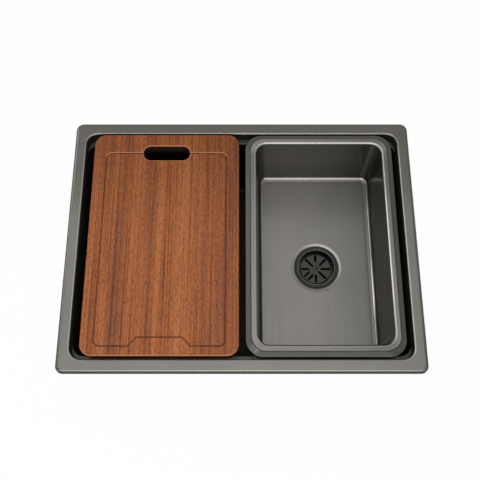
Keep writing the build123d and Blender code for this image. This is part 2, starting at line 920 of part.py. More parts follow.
# Basin strainer: raised disc with radial slots, carried by a flange on the seat
strainer_top = seat_z + strainer_height
flange_radius = ring_throat_radius - 2 * clearance
with BuildPart() as basin_strainer:
    with BuildSketch(upright(basin_x, basin_drain_y)):
        with BuildLine():
            Polyline(
                (0, strainer_top),
                (strainer_disc_radius - strainer_sheet, strainer_top),
                (strainer_disc_radius, strainer_top - strainer_sheet),
                (strainer_disc_radius, seat_z + strainer_sheet),
                (flange_radius, seat_z + strainer_sheet),
                (flange_radius, seat_z),
                (strainer_disc_radius - strainer_sheet, seat_z),
                (strainer_disc_radius - strainer_sheet, strainer_top - strainer_sheet),
                (0, strainer_top - strainer_sheet),
                close=True,
            )
        make_face()
    revolve(axis=basin_drain_axis)
    with BuildSketch(level(strainer_top, basin_x, basin_drain_y)):
        for turn, start in zip(strainer_slot_turns, strainer_slot_starts):
            with Locations(Rotation(0, 0, turn) * Location(((start + strainer_slot_end) / 2, 0))):
                SlotOverall(strainer_slot_end - start, strainer_slot_width)
        side_middle = (strainer_side_slot_start + strainer_side_slot_end) / 2
        side_reach = strainer_side_slot_end - strainer_side_slot_start
        for side in (-strainer_side_slot_offset, strainer_side_slot_offset):
            with Locations(Rotation(0, 0, grip_turn) * Location((side_middle, side))):
                SlotOverall(side_reach, strainer_slot_width)
    extrude(amount=-strainer_sheet, mode=Mode.SUBTRACT)
save(basin_strainer, "basin_strainer")

# Strainer grip: bent strip spot-welded across the disc, raised enough for a fingernail
grip_plane = Plane(
    origin=(basin_x, basin_drain_y, strainer_top + grip_sheet / 2),
    x_dir=Vector(1, 0, 0).rotate(Axis.Z, grip_turn),
    z_dir=Vector(0, -1, 0).rotate(Axis.Z, grip_turn),
)
with BuildPart() as strainer_grip:
    with BuildSketch(grip_plane):
        with BuildLine():
            FilletPolyline(
                (grip_start, 0),
                (grip_start + grip_foot, 0),
                (grip_start + grip_foot + grip_slope, grip_rise),
                (grip_end - grip_foot - grip_slope, grip_rise),
                (grip_end - grip_foot, 0),
                (grip_end, 0),
                radius=grip_bend,
            )
        trace(line_width=grip_sheet)
    extrude(amount=grip_width / 2, both=True)
save(strainer_grip, "strainer_grip")
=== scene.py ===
"""Workstation kitchen sink: finishes, thread and weld details, studio and camera.

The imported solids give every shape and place. This script dresses them, adds the fine details
that the solids leave out, and sets the light and the camera of the photograph.
"""

import math

import bmesh
import bpy
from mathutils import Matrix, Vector


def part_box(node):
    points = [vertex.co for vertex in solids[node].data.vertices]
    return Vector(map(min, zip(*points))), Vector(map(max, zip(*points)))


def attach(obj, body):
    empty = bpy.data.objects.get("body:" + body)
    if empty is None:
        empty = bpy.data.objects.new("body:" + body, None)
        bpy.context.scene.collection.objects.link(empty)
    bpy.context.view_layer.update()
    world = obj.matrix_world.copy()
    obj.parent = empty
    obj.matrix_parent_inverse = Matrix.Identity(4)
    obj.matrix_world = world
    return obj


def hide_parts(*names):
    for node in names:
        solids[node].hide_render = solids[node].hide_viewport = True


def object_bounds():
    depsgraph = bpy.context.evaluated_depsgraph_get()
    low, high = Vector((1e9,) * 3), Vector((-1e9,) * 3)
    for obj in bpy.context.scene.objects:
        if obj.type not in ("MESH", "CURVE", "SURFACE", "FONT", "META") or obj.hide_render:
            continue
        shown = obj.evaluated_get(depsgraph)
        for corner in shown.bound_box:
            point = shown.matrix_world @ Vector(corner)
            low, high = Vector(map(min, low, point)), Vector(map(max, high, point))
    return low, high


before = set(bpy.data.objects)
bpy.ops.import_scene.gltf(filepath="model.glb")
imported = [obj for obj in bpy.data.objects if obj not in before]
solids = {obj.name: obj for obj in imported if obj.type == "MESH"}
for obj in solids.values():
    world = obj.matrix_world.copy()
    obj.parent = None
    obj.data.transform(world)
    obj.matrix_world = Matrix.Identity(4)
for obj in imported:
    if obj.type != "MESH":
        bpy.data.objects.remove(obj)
cad_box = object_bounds()

# Sink rim: a frame pressed from stainless sheet and rolled over at both edges. A vapour
# coat gives it the gunmetal colour over a fine satin brushing along its length. Its rolled
# edges carry painted highlights and painted shade.
GUNMETAL = (0.070, 0.066, 0.058)
# The next two colours are painted highlights for rolled edges, the rear one dimmer; the third is painted
# shade for outer rolls and folds.
HIGHLIGHT_PAINT = (0.20, 0.196, 0.185)
HIGHLIGHT_PAINT_REAR = (0.105, 0.102, 0.096)
SHADE_PAINT = (0.022, 0.021, 0.019)
RIM_BRUSH = (6, 700, 700)
RIM_CORNER = 0.013
OPENING_LAND = (0.021, 0.0225)
OPENING_CORNER = 0.020
# Each zone has a start, an end and a fade, in metres outward from an outline seen in plan.
RIM_EDGE = (-0.0022, 0.0010, 0.0010)
RIM_FRONT_LINE = (-0.0050, -0.0043, 0.0004)
RIM_FRONT_ROLL = (-0.0039, 0.0010, 0.0003)
OPENING_ROLL = (0.0, 0.0020, 0.0005)
OPENING_REAR = (0.170, 0.190)
RISING = [(0.0, 0.0), (1.0, 1.0)]
FAR = 1.0


def finish(name, colour, **values):
    """Material whose shader has these constant values; returns it, its tree and its shader."""
    material = bpy.data.materials.new(name)
    material.use_nodes = True
    tree = material.node_tree
    shader = tree.nodes["Principled BSDF"]
    shader.inputs["Base Color"].default_value = (*colour, 1)
    for socket, value in values.items():
        shader.inputs[socket.replace("_", " ")].default_value = value
    return material, tree, shader


def streaks(tree, grain, detail=4.0, roughness=0.6):
    """Noise in the piece's own coordinates, in features per metre along X, Y and Z."""
    place = tree.nodes.new("ShaderNodeTexCoord")
    stretch = tree.nodes.new("ShaderNodeMapping")
    stretch.inputs["Scale"].default_value = grain
    noise = tree.nodes.new("ShaderNodeTexNoise")
    noise.inputs["Scale"].default_value = 1.0
    noise.inputs["Detail"].default_value = detail
    noise.inputs["Roughness"].default_value = roughness
    tree.links.new(place.outputs["Object"], stretch.inputs["Vector"])
    tree.links.new(stretch.outputs["Vector"], noise.inputs["Vector"])
    return noise.outputs["Fac"]


def ramp(tree, source, stops):
    """Colour ramp from (position, colour) stops; a single number stands for a grey."""
    node = tree.nodes.new("ShaderNodeValToRGB")
    elements = node.color_ramp.elements
    while len(elements) < len(stops):
        elements.new(0.5)
    for element, (position, colour) in zip(elements, stops):
        element.position = position
        element.color = (*colour, 1) if isinstance(colour, tuple) else (colour, colour, colour, 1)
    tree.links.new(source, node.inputs["Fac"])
    return node.outputs["Color"]


def scaled(colour, share):
    """A lighter or darker copy of a colour."""
    return tuple(share * c for c in colour)


def bump(tree, shader, height, distance, strength=1.0):
    """Fine relief of the given depth in metres."""
    node = tree.nodes.new("ShaderNodeBump")
    node.inputs["Distance"].default_value = distance
    node.inputs["Strength"].default_value = strength
    tree.links.new(height, node.inputs["Height"])
    tree.links.new(node.outputs["Normal"], shader.inputs["Normal"])


def blend_colours(tree, kind, amount, below, above):
    """Mix of two colour outputs; amount is a number or an output."""
    node = tree.nodes.new("ShaderNodeMix")
    node.data_type = "RGBA"
    node.blend_type = kind
    if isinstance(amount, float):
        node.inputs["Factor"].default_value = amount
    else:
        tree.links.new(amount, node.inputs["Factor"])
    tree.links.new(below, node.inputs["A"])
    tree.links.new(above, node.inputs["B"])
    return node.outputs["Result"]


def multiply(tree, first, second):
    """Product of two outputs: a shaded colour, or the overlap of two masks."""
    return blend_colours(tree, "MULTIPLY", 1.0, first, second)


def outside(tree, low, high, corner):
    """Distance in plan outside a rounded rectangle, in metres; negative within its corner radius."""
    middle = [(a + b) / 2 for a, b in zip(low, high)]
    reach = [(b - a) / 2 - corner for a, b in zip(low, high)]
    vector = tree.nodes.new("ShaderNodeTexCoord").outputs["Object"]
    steps = [
        ("SUBTRACT", (*middle, 0)),
        ("ABSOLUTE", None),
        ("SUBTRACT", (*reach, 0)),
        ("MAXIMUM", (0, 0, 0)),
        ("MULTIPLY", (1, 1, 0)),
        ("LENGTH", None),
    ]
    for kind, second in steps:
        node = tree.nodes.new("ShaderNodeVectorMath")
        node.operation = kind
        tree.links.new(vector, node.inputs[0])
        if second:
            node.inputs[1].default_value = second
        vector = node.outputs["Value" if kind == "LENGTH" else "Vector"]
    shrink = tree.nodes.new("ShaderNodeMath")
    shrink.operation = "SUBTRACT"
    shrink.inputs[1].default_value = corner
    tree.links.new(vector, shrink.inputs[0])
    return shrink.outputs[0]


def between(tree, distance, start, end, fade):
    """1 where a distance lies from start to end, fading to 0 over a further stretch."""
    reach = tree.nodes.new("ShaderNodeMapRange")
    reach.inputs["From Min"].default_value = start - fade
    reach.inputs["From Max"].default_value = end + fade
    tree.links.new(distance, reach.inputs["Value"])
    edge = fade / (end - start + 2 * fade)
    return ramp(tree, reach.outputs["Result"], [(0.0, 0.0), (edge, 1.0), (1.0 - edge, 1.0), (1.0, 0.0)])


def along(tree, axis, start, end):
    """0 to 1 from start to end along one of the piece's own axes, in metres."""
    place = tree.nodes.new("ShaderNodeTexCoord")
    axes = tree.nodes.new("ShaderNodeSeparateXYZ")
    reach = tree.nodes.new("ShaderNodeMapRange")
    reach.inputs["From Min"].default_value = start
    reach.inputs["From Max"].default_value = end
    tree.links.new(place.outputs["Object"], axes.inputs["Vector"])
    tree.links.new(axes.outputs[axis], reach.inputs["Value"])
    return reach.outputs["Result"]


def satin_steel(name, colour, brush, smooth=0.36, rough=0.46, film=0.5, film_roughness=0.12):
    """Brushed and coated sheet: streaks along one axis under a thin film.

    Returns the material, its tree, its shader and its colour output.
    """
    brush_depth = 0.00002
    cloud_grain = (9, 9, 9)
    cloud_dark, cloud_light = scaled(colour, 0.92), scaled(colour, 1.06)
    coat = {"Coat_Weight": film, "Coat_Roughness": film_roughness}
    material, tree, shader = finish(name, colour, Metallic=1.0, **coat)
    lines = streaks(tree, brush, detail=5.0)
    sheen = ramp(tree, lines, [(0.25, smooth), (0.75, rough)])
    tree.links.new(sheen, shader.inputs["Roughness"])
    cloud = streaks(tree, cloud_grain, detail=3.0)
    tint = ramp(tree, cloud, [(0.3, cloud_dark), (0.7, cloud_light)])
    tree.links.new(tint, shader.inputs["Base Color"])
    bump(tree, shader, lines, brush_depth, strength=0.4)
    return material, tree, shader, tint


def tone(tree, shader, below, mask, colour):
    """Take a finish to another colour where the mask is 1; returns the new colour output."""
    paint = tree.nodes.new("ShaderNodeRGB")
    paint.outputs[0].default_value = (*colour, 1)
    mixed = blend_colours(tree, "MIX", mask, below, paint.outputs[0])
    tree.links.new(mixed, shader.inputs["Base Color"])
    return mixed


def dress(material, *nodes):
    """Give carried-over solids their finish."""
    for node in nodes:
        mesh = solids[node].data
        mesh.materials.clear()
        mesh.materials.append(material)


rim_low, rim_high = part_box("sink_rim")
opening_low = [a + land for a, land in zip(rim_low, OPENING_LAND)]
opening_high = [b - land for b, land in zip(rim_high, OPENING_LAND)]
rim_finish, rim_tree, rim_shader, rim_colour = satin_steel("gunmetal_rim", GUNMETAL, RIM_BRUSH)
rim_outline = outside(rim_tree, rim_low[:2], rim_high[:2], RIM_CORNER)
rim_front = outside(rim_tree, (-FAR, rim_low[1]), (FAR, FAR), RIM_CORNER)
opening_outline = outside(rim_tree, opening_low, opening_high, OPENING_CORNER)
# Painted shade on the outer roll and the front roll; painted highlights on the front line and the opening's
# roll.
rim_zones = [
    (rim_outline, RIM_EDGE, SHADE_PAINT),
    (rim_front, RIM_FRONT_LINE, HIGHLIGHT_PAINT),
    (rim_front, RIM_FRONT_ROLL, SHADE_PAINT),
    (opening_outline, OPENING_ROLL, HIGHLIGHT_PAINT),
]
for outline, zone, colour in rim_zones:
    rim_zone = between(rim_tree, outline, *zone)
    rim_colour = tone(rim_tree, rim_shader, rim_colour, rim_zone, colour)
# The opening's painted highlight turns dimmer towards the rear.
opening_roll = between(rim_tree, opening_outline, *OPENING_ROLL)
toward_rear = ramp(rim_tree, along(rim_tree, "Y", *OPENING_REAR), RISING)
tone(rim_tree, rim_shader, rim_colour, multiply(rim_tree, opening_roll, toward_rear), HIGHLIGHT_PAINT_REAR)
dress(rim_finish, "sink_rim")

# Sink bowl: one deep drawn bowl of the same coated sheet, welded under the rim, with a
# ledge along the front and the rear that carries the board and the basin.
# The bowl's colour is a darker copy of the rim's: painted shade for its deep inside.
BOWL_SHADED_GUNMETAL = (0.050, 0.047, 0.042)
BOWL_BRUSH = (5, 600, 600)
bowl_look = {"smooth": 0.50, "rough": 0.62, "film": 0.05, "film_roughness": 0.35}
bowl_finish = satin_steel("gunmetal_bowl", BOWL_SHADED_GUNMETAL, BOWL_BRUSH, **bowl_look)[0]
dress(bowl_finish, "sink_bowl")

# Rim seal: a strip of closed-cell foam stuck under the rim, which presses it onto the
# worktop and keeps the water out.
FOAM_BLACK = (0.030, 0.030, 0.032)


def soft_black(name, colour, grain, depth, roughness=0.85):
    """Moulded or cut rubber: matte, with a fine grain."""
    material, tree, shader = finish(name, colour, Roughness=roughness, Specular_IOR_Level=0.3)
    pores = streaks(tree, (grain, grain, grain), detail=3.0)
    mottle = ramp(tree, pores, [(0.3, scaled(colour, 0.7)), (0.7, scaled(colour, 1.4))])
    tree.links.new(mottle, shader.inputs["Base Color"])
    bump(tree, shader, pores, depth)
    return material


dress(soft_black("foam_seal", FOAM_BLACK, grain=900, depth=0.0002), "rim_seal")

# Clip rails: folded strips of bare stainless steel below the rim, each fixed to the bowl's
# wall by a row of spot welds along its upper edge.
STAINLESS = (0.52, 0.51, 0.49)
RAIL_BRUSH = (6, 6, 900)
RAIL_SHEET = 0.001
WELD_DROP = 0.002
WELD_PITCH = 0.040
WELD_SIDES = 14
# The weld's profile goes inward from its foot: radius, then height over the sheet.
WELD_PROFILE = [(0.0021, -0.0001), (0.0020, 0.00012), (0.0016, 0.00016), (0.0009, 0.00005)]
SHARP_ANGLE = math.radians(35)
SAME_PLACE = 0.00001


def bare_steel(name, colour, brush, smooth, rough):
    """Uncoated or plated steel: brighter, with streaks and small dull patches."""
    brush_depth = 0.00002
    patch_grain = (60, 60, 60)
    material, tree, shader = finish(name, colour, Metallic=1.0)
    lines = streaks(tree, brush, detail=4.0)
    patches = streaks(tree, patch_grain, detail=2.0)
    worn = blend_colours(tree, "OVERLAY", 0.6, lines, patches)
    tree.links.new(ramp(tree, worn, [(0.3, smooth), (0.7, rough)]), shader.inputs["Roughness"])
    dulled = ramp(tree, patches, [(0.3, scaled(colour, 0.85)), (0.7, colour)])
    tree.links.new(dulled, shader.inputs["Base Color"])
    bump(tree, shader, lines, brush_depth, strength=0.5)
    return material


def solid_boxes(node):
    """Lowest and highest corners of each separate solid of a node, in a fixed order."""
    shape = bmesh.new()
    shape.from_mesh(solids[node].data)
    bmesh.ops.remove_doubles(shape, verts=shape.verts, dist=SAME_PLACE)
    waiting = set(shape.verts)
    boxes = []
    while waiting:
        group = [waiting.pop()]
        for vert in group:
            for edge in vert.link_edges:
                other = edge.other_vert(vert)
                if other in waiting:
                    waiting.remove(other)
                    group.append(other)
        axes = list(zip(*(vert.co for vert in group)))
        boxes.append((tuple(min(axis) for axis in axes), tuple(max(axis) for axis in axes)))
    shape.free()
    return sorted(boxes)


def skin(points, faces, rings):
    """Add a skin over rings of equal length; returns where the first and the last ring start."""
    sides = len(rings[0])
    starts = [len(points) + row * sides for row in range(len(rings))]
    for ring in rings:
        points.extend(ring)
    for this, following in zip(starts, starts[1:]):
        for side in range(sides):
            turned = (side + 1) % sides
            faces.append((this + side, this + turned, following + turned, following + side))
    return starts[0], starts[-1]


def cap(faces, first, last, sides):
    """Close the first and the last ring of a skin with flat faces."""
    faces.append(tuple(range(first + sides - 1, first - 1, -1)))
    faces.append(tuple(range(last, last + sides)))


def added_piece(name, points, faces, material, body):
    """New mesh piece with a finish, riding on a body."""
    mesh = bpy.data.meshes.new(name)
    mesh.from_pydata(points, [], faces)
    mesh.shade_smooth()
    mesh.set_sharp_from_angle(angle=SHARP_ANGLE)
    mesh.materials.append(material)
    piece = bpy.data.objects.new(name, mesh)
    bpy.context.scene.collection.objects.link(piece)
    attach(piece, body)
    return piece


def weld_spot(points, faces, centre, across, out):
    """Round spot weld: a low raised edge about a shallow crater, on a face that looks along out."""
    beside = out.cross(across)
    turns = [math.tau * side / WELD_SIDES for side in range(WELD_SIDES)]
    rings = []
    for radius, height in WELD_PROFILE:
        flat = [across * (radius * math.cos(turn)) + beside * (radius * math.sin(turn)) for turn in turns]
        rings.append([tuple(centre + place + out * height) for place in flat])
    cap(faces, *skin(points, faces, rings), WELD_SIDES)


rail_steel = bare_steel("stainless_rails", STAINLESS, RAIL_BRUSH, smooth=0.25, rough=0.40)
dress(rail_steel, "clip_rails")
weld_points = []
weld_faces = []
for low, high in solid_boxes("clip_rails"):
    middle = [(a + b) / 2 for a, b in zip(low, high)]
    run = 0 if high[0] - low[0] > high[1] - low[1] else 1
    side = 1 - run
    sign = 1.0 if middle[side] > 0 else -1.0
    wall = low[side] if sign > 0 else high[side]
    count = int((high[run] - low[run]) / WELD_PITCH)
    rail_way = Vector((1 - run, run, 0))
    out = Vector((side == 0, side == 1, 0)) * sign
    for number in range(count):
        centre = Vector((0, 0, high[2] - WELD_DROP))
        centre[side] = wall + sign * RAIL_SHEET
        centre[run] = middle[run] + (number - (count - 1) / 2) * WELD_PITCH
        weld_spot(weld_points, weld_faces, centre, rail_way, out)
added_piece("rail_weld_spots", weld_points, weld_faces, rail_steel, "sink")

# Clip brackets and claws: bent strips of zinc plated steel that hook into the rails and
# grip the worktop from below.
ZINC = (0.58, 0.57, 0.53)
ZINC_GRAIN = (200, 200, 200)
zinc_plate = bare_steel("zinc_plate", ZINC, ZINC_GRAIN, smooth=0.30, rough=0.50)
dress(zinc_plate, "clip_brackets", "clip_claws")

# Clip screws: zinc plated machine screws with a round head, a cross recess and a rolled
# thread, which pull the claws and so the rim down onto the worktop.
SCREW_SIDES = 16
HEAD_HEIGHT = 0.003
HEAD_RADIUS = 0.004
HEAD_ROUND = 0.0007
RECESS_ARM = 0.0022
RECESS_WIDTH = 0.0006
RECESS_DEPTH = 0.0016
RECESS_TAPER = 0.5
SCREW_CORE = 0.0016
SCREW_CREST = 0.0020
SCREW_PITCH = 0.001
RINGS_PER_PITCH = 4
NEARLY_ZERO = 0.000001


def circle(centre, radii, z):
    """Level ring of points about a centre, with a radius for each point."""
    ring = []
    for side, radius in enumerate(radii):
        angle = math.tau * (side / len(radii))
        ring.append((centre[0] + radius * math.cos(angle), centre[1] + radius * math.sin(angle), z))
    return ring


def thread(centre, core, crest, low, high, pitch, sides):
    """Rings of a screw thread from low to high."""
    rings = []
    for row in range(int(RINGS_PER_PITCH * (high - low) / pitch) + 1):
        rise = row / RINGS_PER_PITCH
        lifts = [abs(2 * ((rise - side / sides) % 1.0) - 1) for side in range(sides)]
        radii = [core + (crest - core) * lift for lift in lifts]
        rings.append(circle(centre, radii, low + rise * pitch))
    return rings


def cross(turn):
    """Radius of the cross recess in the head at a share of a full turn."""
    c = abs(math.cos(math.tau * turn)) + NEARLY_ZERO
    s = abs(math.sin(math.tau * turn)) + NEARLY_ZERO
    return max(min(RECESS_ARM / c, RECESS_WIDTH / s), min(RECESS_WIDTH / c, RECESS_ARM / s))


recess_mouth = [cross(side / SCREW_SIDES) for side in range(SCREW_SIDES)]
recess_floor = [RECESS_TAPER * radius for radius in recess_mouth]
screw_points = []
screw_faces = []
for low, high in solid_boxes("clip_screws"):
    axis = ((low[0] + high[0]) / 2, (low[1] + high[1]) / 2)
    seat = low[2] + HEAD_HEIGHT
    thread_start, thread_end = seat + SCREW_PITCH, high[2] - SCREW_PITCH
    head_rounds = [
        (HEAD_RADIUS - HEAD_ROUND, low[2]),
        (HEAD_RADIUS - HEAD_ROUND / 3, low[2] + HEAD_ROUND / 3),
        (HEAD_RADIUS, low[2] + HEAD_ROUND),
        (HEAD_RADIUS, seat),
        (SCREW_CREST, seat),
    ]
    rings = [circle(axis, recess_floor, low[2] + RECESS_DEPTH), circle(axis, recess_mouth, low[2])]
    rings += [circle(axis, [radius] * SCREW_SIDES, z) for radius, z in head_rounds]
    rings += thread(axis, SCREW_CORE, SCREW_CREST, thread_start, thread_end, SCREW_PITCH, SCREW_SIDES)
    rings.append(circle(axis, [SCREW_CORE] * SCREW_SIDES, high[2]))
    cap(screw_faces, *skin(screw_points, screw_faces, rings), SCREW_SIDES)
screws = added_piece("threaded_clip_screws", screw_points, screw_faces, zinc_plate, "sink")
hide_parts("clip_screws")

# Sound pads: dense rubber sheets with a fine pressed grain, glued to the outside of the bowl
# to deaden the noise of water and dishes.
PAD_BLACK = (0.055, 0.056, 0.060)
PAD_PLACES = ("front", "rear", "left", "right", "base")
pad_rubber = soft_black("pad_rubber", PAD_BLACK, grain=350, depth=0.0004)
dress(pad_rubber, *(f"sound_pad_{place}" for place in PAD_PLACES))

# Bowl drain: a pressed stainless cup with a flange in the floor and a thread outside. A
# rubber gasket, a fibre ring and a plastic nut clamp it from below.
DRAIN_GRAIN = (300, 300, 300)
DRAIN_CUP_RADIUS = 0.0435
DRAIN_THREAD_LENGTH = 0.016
THREAD_PITCH = 0.002
THREAD_DEPTH = 0.00022
THREAD_SIDES = 96
SEAL_BLACK = (0.022, 0.022, 0.023)
FIBRE_BROWN = (0.36, 0.24, 0.14)
NUT_BLACK = (0.030, 0.030, 0.032)


def thread_band(name, node, nut, radius, length, material, body):
    """Thread that stands out from a turned cylinder and runs down from inside its nut."""
    low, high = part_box(node)
    axis = ((low[0] + high[0]) / 2, (low[1] + high[1]) / 2)
    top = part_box(nut)[0][2] + THREAD_PITCH
    bottom = top - length
    inside = [radius - THREAD_DEPTH] * THREAD_SIDES
    foot = circle(axis, inside, bottom)
    turns = thread(axis, radius, radius + THREAD_DEPTH, bottom, top, THREAD_PITCH, THREAD_SIDES)
    points = []
    faces = []
    skin(points, faces, [foot, *turns, circle(axis, inside, top), foot])
    added_piece(name, points, faces, material, body)


def seal_rubber(name, grain=1200):
    """Moulded black rubber of seals and stoppers."""
    return soft_black(name, SEAL_BLACK, grain, depth=0.0001, roughness=0.7)


def pressed_fibre(name, colour):
    """Pressed fibre board with short speckles."""
    speckle_grain = (1500, 1500, 400)
    speckle_depth = 0.0001
    material, tree, shader = finish(name, colour, Roughness=0.9)
    speckle = streaks(tree, speckle_grain, detail=2.0)
    speckled = ramp(tree, speckle, [(0.35, scaled(colour, 0.6)), (0.65, colour)])
    tree.links.new(speckled, shader.inputs["Base Color"])
    bump(tree, shader, speckle, speckle_depth)
    return material


def moulded_plastic(name, colour):
    """Injection-moulded plastic with a spark-eroded skin."""
    erosion_grain = (1800, 1800, 1800)
    erosion_depth = 0.00005
    material, tree, shader = finish(name, colour, Specular_IOR_Level=0.4)
    erosion = streaks(tree, erosion_grain, detail=2.0)
    tree.links.new(ramp(tree, erosion, [(0.3, 0.42), (0.7, 0.6)]), shader.inputs["Roughness"])
    bump(tree, shader, erosion, erosion_depth)
    return material


drain_steel = bare_steel("stainless_drain", STAINLESS, DRAIN_GRAIN, smooth=0.22, rough=0.36)
dress(drain_steel, "drain_body")
thread_band(
    "drain_thread",
    "drain_body",
    "drain_locknut",
    DRAIN_CUP_RADIUS,
    DRAIN_THREAD_LENGTH,
    drain_steel,
    "sink",
)
dress(seal_rubber("gasket_rubber"), "drain_gasket")
dress(pressed_fibre("fibre_ring", FIBRE_BROWN), "drain_friction_ring")
nut_plastic = moulded_plastic("nut_plastic", NUT_BLACK)
dress(nut_plastic, "drain_locknut")

# Tailpiece: chromed brass tube with a turned-out flange, sealed by a rubber washer and
# held to the drain cup by a ribbed plastic nut.
CHROME = (0.72, 0.72, 0.72)
TAIL_BRUSH = (4, 4, 500)
dress(bare_steel("chrome_tail", CHROME, TAIL_BRUSH, smooth=0.06, rough=0.14), "tailpiece")
dress(seal_rubber("washer_rubber"), "tail_washer")
dress(nut_plastic, "tail_nut")

# Drain basket: a slotted stainless cup with a turned post and knob, which lies loose in the
# bowl drain on a rubber stopper.
basket_steel = bare_steel("stainless_basket", STAINLESS, DRAIN_GRAIN, smooth=0.18, rough=0.32)
dress(basket_steel, "drain_basket", "basket_post")
dress(seal_rubber("stopper_rubber", grain=900), "basket_stopper")

# Cutting board: a slab of reddish ribbon-grained hardwood, planed, oiled and routed with a
# handle slot and a juice groove. The grain runs from front to rear, and the board lies
# loose on the ledges.
WOOD_DARK = (0.205, 0.069, 0.034)
WOOD_MID = (0.330, 0.102, 0.036)
WOOD_LIGHT = (0.415, 0.142, 0.050)
# Painted shade: the wood darkens towards the rear over this reach.
REAR_WOOD_SHADE = (0.74, 0.70, 0.66)
REAR_WOOD_SHADE_REACH = (0.02, 0.19)
RIBBON_GRAIN = (26, 1.0, 26)
RIBBON_TONES = [(0.32, WOOD_DARK), (0.48, WOOD_MID), (0.66, WOOD_LIGHT)]
FIBRE_GRAIN = (380, 2.0, 380)
FIBRE_SHADES = [(0.38, 0.40), (0.48, 0.86), (0.60, 1.10)]
PORE_GRAIN = (760, 150, 760)
PORE_SHADES = [(0.36, 0.36), (0.50, 0.92), (0.64, 1.08)]
PORE_DEPTH = 0.00008
GRAIN_STRENGTH = 0.9
# Painted shade: the wood darkens with depth below the top face, on the board's sides and in the slot and the
# groove.
SHADE_DEPTH = 0.004
SHADE_SKIN = 0.0002
DEPTH_SHADES = [(0.0, 0.30), (0.85, 0.62), (1.0, 1.0)]
OIL_SHEEN = [(0.3, 0.62), (0.7, 0.50)]
BOARD_CORNER = 0.020
# Painted highlight on the rounding of the board's front edge.
FRONT_EDGE_LIT = (-0.0018, -0.0006, 0.0005)
FRONT_HIGHLIGHT_TONE = (0.385, 0.145, 0.062)
FALLING = [(0.0, 1.0), (1.0, 0.0)]
SLOT_SIZE = (0.083, 0.027)
SLOT_INSET = 0.0369
# Painted shade on the slot's wall and a painted highlight round its edge.
SLOT_WALL = (-0.0010, 0.0002, 0.0002)
SLOT_EDGE = (0.0006, 0.0014, 0.0005)
SLOT_WALL_SHADE = (0.022, 0.010, 0.006)
EDGE_HIGHLIGHT = (0.46, 0.19, 0.085)
GROOVE_INSET = (0.0226, 0.0162)
GROOVE_CORNER = 0.010
# Painted highlight and painted shade along the rear run of the groove.
GROOVE_LIGHT = (0.0011, 0.0019, 0.0004)
GROOVE_DARK = (-0.0013, 0.0004, 0.0004)
GROOVE_SHADE = (0.070, 0.027, 0.015)
GROOVE_REAR = (-0.0060, 0.0020, 0.0020)
board_low, board_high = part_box("cutting_board")
wood, wood_tree, wood_shader = finish("oiled_hardwood", WOOD_MID, Specular_IOR_Level=0.12)
ribbons = streaks(wood_tree, RIBBON_GRAIN, detail=3.0, roughness=0.5)
wood_colour = ramp(wood_tree, ribbons, RIBBON_TONES)
fibres = streaks(wood_tree, FIBRE_GRAIN, detail=6.0, roughness=0.72)
fibre_shade = ramp(wood_tree, fibres, FIBRE_SHADES)
wood_colour = blend_colours(wood_tree, "MULTIPLY", GRAIN_STRENGTH, wood_colour, fibre_shade)
pores = streaks(wood_tree, PORE_GRAIN, detail=3.0, roughness=0.8)
pore_shade = ramp(wood_tree, pores, PORE_SHADES)
wood_colour = blend_colours(wood_tree, "MULTIPLY", GRAIN_STRENGTH, wood_colour, pore_shade)
# Painted shade below the top face.
below_top = along(wood_tree, "Z", board_high[2] - SHADE_DEPTH, board_high[2] - SHADE_SKIN)
wood_colour = multiply(wood_tree, wood_colour, ramp(wood_tree, below_top, DEPTH_SHADES))
# Painted shade towards the rear.
rearward = along(wood_tree, "Y", *REAR_WOOD_SHADE_REACH)
wood_colour = multiply(wood_tree, wood_colour, ramp(wood_tree, rearward, [(0.0, 1.0), (1.0, REAR_WOOD_SHADE)]))

slot_middle = ((board_low[0] + board_high[0]) / 2, board_high[1] - SLOT_INSET)
slot_low = [m - size / 2 for m, size in zip(slot_middle, SLOT_SIZE)]
slot_high = [m + size / 2 for m, size in zip(slot_middle, SLOT_SIZE)]
slot_outline = outside(wood_tree, slot_low, slot_high, SLOT_SIZE[1] / 2)
# Painted highlight round the slot and painted shade on its wall.
for zone, colour in ((SLOT_EDGE, EDGE_HIGHLIGHT), (SLOT_WALL, SLOT_WALL_SHADE)):
    slot_zone = between(wood_tree, slot_outline, *zone)
    wood_colour = tone(wood_tree, wood_shader, wood_colour, slot_zone, colour)

groove_low = [a + inset for a, inset in zip(board_low, GROOVE_INSET)]
groove_high = [board_high[0] - GROOVE_INSET[0], slot_middle[1]]
groove_outline = outside(wood_tree, groove_low, groove_high, GROOVE_CORNER)
groove_limit = outside(wood_tree, (-FAR, -FAR), (FAR, groove_high[1]), GROOVE_CORNER)
groove_rear = between(wood_tree, groove_limit, *GROOVE_REAR)
# Painted highlight and painted shade on the groove's rear run.
for zone, colour in ((GROOVE_LIGHT, EDGE_HIGHLIGHT), (GROOVE_DARK, GROOVE_SHADE)):
    groove_line = multiply(wood_tree, between(wood_tree, groove_outline, *zone), groove_rear)
    wood_colour = tone(wood_tree, wood_shader, wood_colour, groove_line, colour)

# Painted highlight on the front edge's rounding.
board_outline = outside(wood_tree, board_low[:2], (board_high[0], FAR), BOARD_CORNER)
from_front = along(wood_tree, "Y", board_low[1], board_low[1] + BOARD_CORNER)
board_front = ramp(wood_tree, from_front, FALLING)
front_edge_lit = multiply(wood_tree, between(wood_tree, board_outline, *FRONT_EDGE_LIT), board_front)
tone(wood_tree, wood_shader, wood_colour, front_edge_lit, FRONT_HIGHLIGHT_TONE)
wood_tree.links.new(ramp(wood_tree, fibres, OIL_SHEEN), wood_shader.inputs["Roughness"])
bump(wood_tree, wood_shader, pores, PORE_DEPTH, strength=0.6)
dress(wood, "cutting_board")

